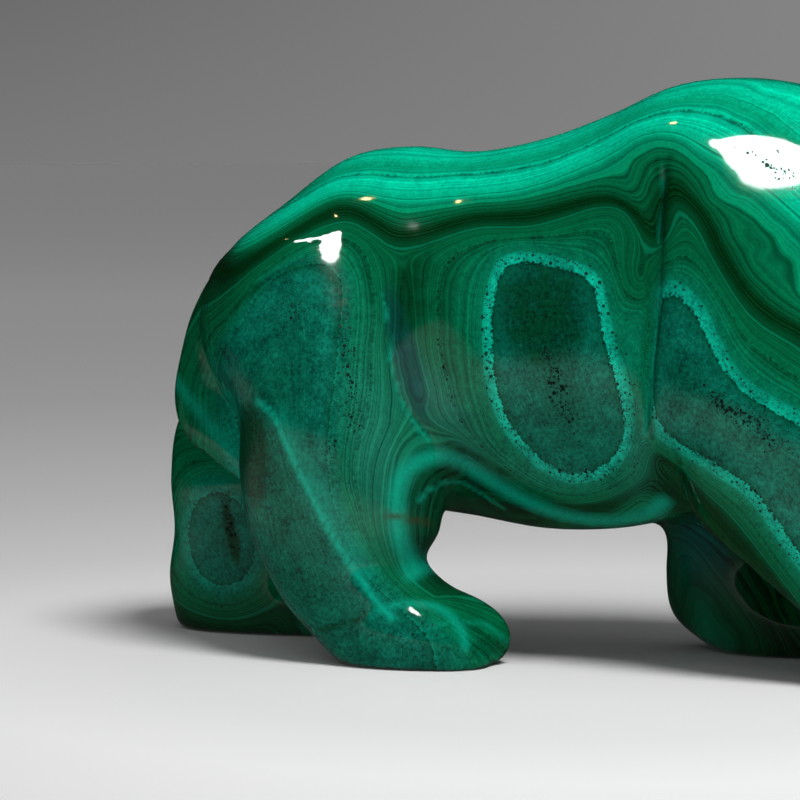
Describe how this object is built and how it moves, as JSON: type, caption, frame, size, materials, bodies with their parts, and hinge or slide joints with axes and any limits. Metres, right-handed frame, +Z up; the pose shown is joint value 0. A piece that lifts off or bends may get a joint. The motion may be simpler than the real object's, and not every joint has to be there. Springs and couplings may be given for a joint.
{
  "type": "panther carving",
  "caption": "Hand-sized prowling panther carved in banded malachite, polished all over, standing on flat-lapped paws.",
  "frame": {"origin": "on the table, at the middle of the carving's length and width", "axes": "+Z up, +X along the body towards the nose, +Y towards the animal's left side"},
  "size_m": [0.1342, 0.0407, 0.0737],
  "materials": {
    "malachite": "banded green stone, high polish"
  },
  "bodies": {
    "root": {"panther": "malachite"}
  },
  "joints": []
}
